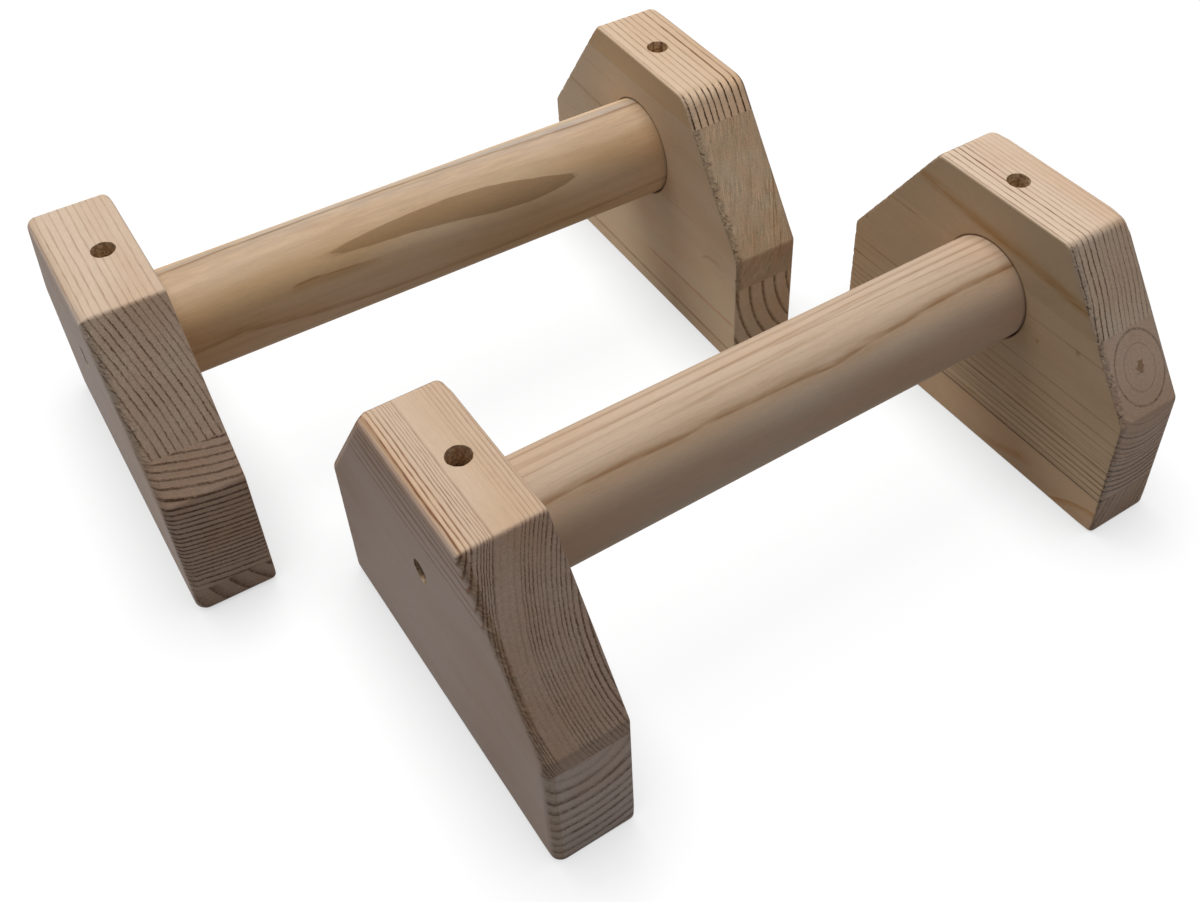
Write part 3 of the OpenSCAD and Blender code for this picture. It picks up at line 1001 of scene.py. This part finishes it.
BOARDS["rear_right_middle_board"] = dict(
    between=(41, 99), pith=(-67, 120), end_tone_and_light=(.985, .96, .86), side_tone_and_light=(1.12, 1.1, 1),
    torn=(.3, 2.3), saw=1.9, patchy=.6, fade=NO_LINES,
    rings=[(60, 0), (75, .05), (81.5, .08), (88, .1), (94, .1), (101, .1), (110, .1)],
    marks=[scratch(56, 118.2, 81, 129), scratch(60, 121.5, 84, 130), scratch(62, 118.6, 79, 126.2, .6),
        scratch(50, 119, 66, 125.5, .6), scratch(70, 114, 84, 119.5, .5), scratch(54, 108, 66, 112.5, .5),
        level_line(73.7, .9, 56, 28, 1.2, (.74, .68, .58), 1.4, .9), level_line(56, .35, -20, -36, -.4),
        level_line(90, .25, 40, 20, .5), level_line(86, .25, -30, -50, .5),
        ("side", .6, 1.6, FAINT,
            [(-62, 45, 0), (-56, 46.5, .8), (-50, 45.6, 1), (-46.5, 43, 1), (-45.5, 41, 0)])])

BOARDS["rear_right_foot_board"] = dict(
    between=(0, 41), pith=(64.1, 43.3), end_tone_and_light=(1.17, 1.14, 1.03), side_tone_and_light=(1.14, 1.11, .98),
    torn=(.15, .3), profile=FINE_LINES, fade=NO_LINES, end_dark=(150, 114, 78), beads=.1,
    relief=(.1, .2, .1), contrast=(.5, .5, 1.4),
    rings=[(30, .8), (34, .8), (40, .8), (45.9, .8), (51.8, .85), (58.1, .85), (64.1, .8), (70, .8),
        (77, .8)],
    marks=[level_line(20.2, .8, -10, -66, -1.2, (.72, .66, .56), 1.6, 1),
        level_line(6.9, 1, 52, -70, .2, (.56, .5, .4), 1.2, .9)])

# drift moves a handle's rings along x, and twist turns them. Its marks go without the kind of face.
HANDLES = {}

HANDLES["front_handle"] = dict(
    pith=(58.7, HANDLE_Z - 12.5), wander=.25, ripple=.35, contrast=(.35, 0, 0), side_tone_and_light=(.93, .91, .88),
    streaks=.05,
    drift=[(-118, .4), (-89, .39), (-64, .13), (-40, -.26), (-16, -.13), (2, -.33), (16, -.79), (33, -.26),
        (60, .85), (91, .66), (118, .5)],
    rings=[(36, .6), (41, .6), (44, .6), (49, .6), (54, .6), (59.2, .6), (64.6, .6), (68.6, .2), (71.1, .2),
        (74.2, .1), (75.9, .1), (84, .1)],
    marks=[
        # Painted light and shade round the handle, its whole length: a lighter band on the near flank, a
        # darker one higher up
        (25, 30, (1.08, .98, .94), [(-118, 10, 1), (118, 10, 1)]),
        (10, 9, (.92, .9, .87), [(-118, 61, 1), (118, 61, 1)]),
        (8, 2, BROWN, [(-118, 55, .7), (-90, 55.4, .8), (-80, 56.7, .9), (-67, 55.8, .9), (-50, 54, .8),
            (-42, 53.1, .8), (-33, 54.9, .8), (-17, 53.6, .7), (0, 52.7, .8), (10, 51.3, .9),
            (17, 49.5, 1), (23, 50.4, 1), (33, 54, .8), (50, 55.8, .7), (60, 58.5, .8),
            (75, 59.4, .9), (97, 58.5, .9), (118, 58, .9)]),
        (6, 12, FAINT, [(-118, 54, .6), (-50, 53, .6), (-20, 53, .6), (5, 51, .6), (23, 49, .7),
            (60, 57, .6), (118, 57, .6)]),
        (2.4, .9, BROWN, [(2, 96, 0), (10, 95.2, .5), (33, 93.6, .6), (67, 92.3, .6), (97, 90, .6),
            (118, 89, .6)]),
        (3.5, 1.8, BROWN, [(-118, 96, .3), (-90, 96.8, .4), (-50, 97.2, .55), (-25, 99, .65), (0, 99.9, .7),
            (17, 101.3, .65), (42, 103.5, .6), (67, 102.6, .6), (97, 99.9, .5), (118, 99, .4)]),
        (5, 2, BROWN, [(-118, 116, .4), (-67, 116, .4), (0, 116.5, .35), (50, 114.5, .4), (118, 112, .4)]),
        (2.5, .9, BROWN, [(-118, 86, .5), (-90, 86.4, .5), (-67, 87.8, .35), (-45, 89.1, .25),
            (-34, 90, 0)]),
        (3, 3.5, BROWN, [(-50, 75.5, 0), (-40, 76.8, .35), (-25, 78.3, .45), (-7, 80.1, .4), (8, 82.4, .45),
            (17, 82.8, .4), (28, 81.9, 0)]),
        (2, 1.2, BROWN, [(-40, 84.5, 0), (-28, 85.5, .3), (-7, 84.6, .35), (12, 86, .3), (20, 86.4, 0)]),
        (3, 2, BROWN, [(36, 83, 0), (47, 81.9, .3), (67, 80.1, .35), (97, 77.4, .35), (118, 76, .3)]),
        (1.6, 1, BROWN, [(-96, 69, 0), (-85, 69.5, .3), (-60, 71, .25), (-48, 72, 0)]),
        (2.5, 1.6, BROWN, [(40, 70, 0), (55, 71, .25), (80, 72, .3), (118, 71, .3)])])

HANDLES["rear_handle"] = dict(
    pale=(219, 192, 161), warm=(207, 174, 134), dark=(158, 120, 78), side_tone_and_light=(1.14, 1.12, 1.07),
    streaks=.04, pith=(-70, 0), wander=.12, ripple=.25, contrast=(.8, 0, 0), profile=BROAD_LINES,
    twist=[(-118, 44), (-40, 48), (-10, 49), (10, 46.5), (25, 42), (40, 37), (55, 34), (118, 34)],
    drift=[(-118, 2.2), (-100, 1.9), (-80, 1.5), (-43, 1), (-27, .85), (-9, .58), (9, .29), (25, .06),
        (40, .33), (53, .79), (60, 1), (80, 1.5), (118, 2)],
    rings=[(40, .8), (44, .8), (51, .85), (54, .05), (57, .1), (60, .08), (63, .15), (70, .3), (77, .3),
        (84, .4), (92, .4)],
    marks=[
        (1.6, 5, BROWN, [(-118, 99, 1), (-96, 99.9, 1), (-75, 104.4, 1), (-50, 105.3, 1), (-7, 106.2, 1),
            (17, 103.5, 1), (37, 100.8, 1), (55, 96.3, 1), (77, 94.5, 1), (118, 94.5, 1)]),
        (18, 8, (.84, .89, 1.04), [(-118, 103, 1), (-75, 108, 1), (-7, 110, 1), (37, 104, 1), (77, 98, 1),
            (118, 98, 1)]),
        # Painted shade: two broad darker bands over the top of the handle, its whole length
        (14, 60, (.83, .82, .88), [(-118, 95, 1), (-50, 98, 1), (118, 88, 1)]),
        (14, 24, (.86, .91, .98), [(-118, 104, 1), (118, 104, 1)]),
        (1.2, 9, BROWN, [(-58, 29.7, 0), (-54, 31, 1), (-48, 31.5, 1), (-42, 30, .85), (-33, 28.5, .7),
            (-22, 26.5, 0)]),
        (1.2, 2, BROWN, [(-75, 16.2, 0), (-71, 17, .4), (-65, 16.7, 0)]),
        (8, 3, BROWN, [(-118, 0, .5), (-95, 0, .55), (-78, 4.5, .6), (-67, -2.3, .6), (-50, -9.9, .65),
            (-25, -17.1, .65), (17, -20.3, .65), (67, -17.1, .6), (118, -12, .6)]),
        (20, 12, ORANGE, [(-118, 14, .5), (-95, 12, .5), (-70, 5, .45), (-50, -4, .3), (-30, -10, 0)]),
        (30, 40, ORANGE, [(58, 50, 0), (76, 45, .25), (118, 30, .4)])])


def attach(piece, node, look):
    """Gives a piece its wood and sets it in the place of its CAD node."""
    piece.data.materials.clear()
    piece.data.materials.append(wood(node + "_pine", look))
    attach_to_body(piece, node.split("_")[0] + "_bar")
    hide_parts(node)


def dress_boards():
    for node, spec in BOARDS.items():
        bar, side_name = node.split("_")[:2]
        side = LEFT if side_name == "left" else RIGHT
        pith_x, pith_z = spec["pith"]
        look = {**spec, "pith": (LEFT_OF[side] + pith_x, pith_z)}
        if side == RIGHT:
            look["painted_bounce"] = PAINTED_BOUNCE[bar]
        bottom, top = spec["between"]
        if bottom:
            bottom += GLUE_GAP
            look["side"] = side
        seed = SEED_STEP * len(node) + side
        piece = board(node, BARS[bar], side, bottom or None, top, seed, look["torn"])
        attach(piece, node, look)


def dress_handles():
    for node, spec in HANDLES.items():
        bar = node.split("_")[0]
        look = {**spec, "marks": [("round",) + band for band in spec["marks"]]}
        attach(handle(node, BARS[bar]), node, look)


# Screws

STEEL_YELLOW = (205, 184, 120)
STEEL_GREY = (186, 168, 138)
TURNING_MARKS = (4, 4, 14)
STEEL_BUMP = (.4, .00005)


def screw_steel():
    """Yellow passivated steel with fine turning marks."""
    s = Shader("screw_steel")
    mm, _ = s.coordinates()
    marks = s.noise(s.scale(mm, TURNING_MARKS), 1, 3)
    tint = s.noise(mm, .35)
    colour = s.mix(s.range(tint, .35, .65), linear(STEEL_YELLOW), linear(STEEL_GREY))
    rough = s.range(marks, .3, .7, .28, .46)
    return s.principled(colour, rough, (marks, *STEEL_BUMP), Metallic=1)


def dress_screws():
    steel = screw_steel()
    for node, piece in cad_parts.items():
        if node.endswith("_screw"):
            piece.data.materials.clear()
            piece.data.materials.append(steel)


# Floor, light and camera

# Share of the seen floor that takes shadow, where that fades out (m), the level that makes the rest white,
# how dark and how wide (m) it is where the bars touch it, and the floor that lights the wood
SHADOW_SHARE = .12
SHADOW_FADE = (.8, 1.7)
WHITE_LEVEL = 1.06
CONTACT_DEPTH = .45
CONTACT_REACH = .028
DULL_FLOOR = (.28, .28, .285, 1)
FLOOR_SIZE = 6
FLOOR_DROP = .00005
WHITE = (1, 1, 1, 1)
KEY_TILT = 24
KEY_FAR = 2.2
KEY_SIZE = 1.3
KEY_POWER = 36.5
KEY_COLOUR = (1, .985, .965)
SURROUND = (.92, .97, 1.06, 1)
SURROUND_LEVEL = .22


def floor():
    """White ground: it shows white with a light shadow, and throws little light back on the wood."""
    s = Shader("white_ground")
    path = s.node("LightPath").outputs
    mirrored = s.math("MAXIMUM", path["Is Glossy Ray"], path["Is Transmission Ray"])
    seen = s.math("MAXIMUM", path["Is Camera Ray"], mirrored)
    nearby = s.node("AmbientOcclusion", {"Distance": CONTACT_REACH}, samples=12).outputs["AO"]
    level = s.times(s.range(nearby, 0, 1, 1 - CONTACT_DEPTH, 1), WHITE_LEVEL)
    white = s.node("Emission", {"Color": WHITE, "Strength": level}).outputs[0]
    shaded = s.node("BsdfDiffuse", {"Color": WHITE}).outputs[0]
    at = s.node("TexCoord").outputs["Object"]
    away = s.node("VectorMath", {0: at}, operation="LENGTH").outputs["Value"]
    share = s.ease(away, *SHADOW_FADE, SHADOW_SHARE, 0)
    shown = s.node("MixShader", {0: share, 1: white, 2: shaded}).outputs[0]
    dull = s.node("BsdfDiffuse", {"Color": DULL_FLOOR}).outputs[0]
    material = s.finish(s.node("MixShader", {0: seen, 1: dull, 2: shown}).outputs[0])

    bm = bmesh.new()
    bmesh.ops.create_grid(bm, x_segments=1, y_segments=1, size=FLOOR_SIZE)
    mesh = bpy.data.meshes.new("ground")
    bm.to_mesh(mesh)
    bm.free()
    ground = bpy.data.objects.new("ground", mesh)
    ground.location.z = -FLOOR_DROP
    mesh.materials.append(material)
    link(ground)


def light():
    """Broad lamp overhead, leaning in from behind, and a dim cool surround that the camera sees as white."""
    lamp = bpy.data.lights.new("key", "AREA")
    lamp.shape = "SQUARE"
    lamp.size = KEY_SIZE
    lamp.energy = KEY_POWER
    lamp.color = KEY_COLOUR
    key = bpy.data.objects.new("key", lamp)
    turn = Euler((math.radians(-KEY_TILT), 0, 0))
    key.rotation_euler = turn
    key.location = turn.to_matrix() @ Vector((0, 0, KEY_FAR))
    link(key)

    s = Shader("surround", "worlds", "OutputWorld")
    skies = ((SURROUND, SURROUND_LEVEL), (WHITE, 1))
    dim, white = (s.node("Background", dict(enumerate(sky))).outputs[0] for sky in skies)
    seen = s.node("LightPath").outputs["Is Camera Ray"]
    bpy.context.scene.world = s.finish(s.node("MixShader", {0: seen, 1: dim, 2: white}).outputs[0])


CAMERA_AT = (-.1821, -.3341, .4048)
CAMERA_YAW, CAMERA_PITCH, CAMERA_ROLL = -32.558, 46.129, -1.071
LENS = 42.17
SENSOR = 36
SHIFT = (-.0454, -.0702)
CLIP = (.01, 20)


def camera():
    """Camera at the photograph's viewing angle."""
    data = bpy.data.cameras.new("camera")
    data.sensor_width = SENSOR
    data.lens = LENS
    data.shift_x, data.shift_y = SHIFT
    data.clip_start, data.clip_end = CLIP
    seen_from = bpy.data.objects.new("camera", data)
    turn = Matrix.Rotation(math.radians(CAMERA_YAW), 4, "Z")
    turn = turn @ Matrix.Rotation(math.radians(CAMERA_PITCH), 4, "X")
    turn = turn @ Matrix.Rotation(math.radians(CAMERA_ROLL), 4, "Z")
    seen_from.matrix_world = Matrix.Translation(CAMERA_AT) @ turn
    link(seen_from)
    bpy.context.scene.camera = seen_from


dress_boards()
dress_handles()
dress_screws()
floor()
light()
camera()
bpy.context.scene.view_settings.view_transform = "Standard"
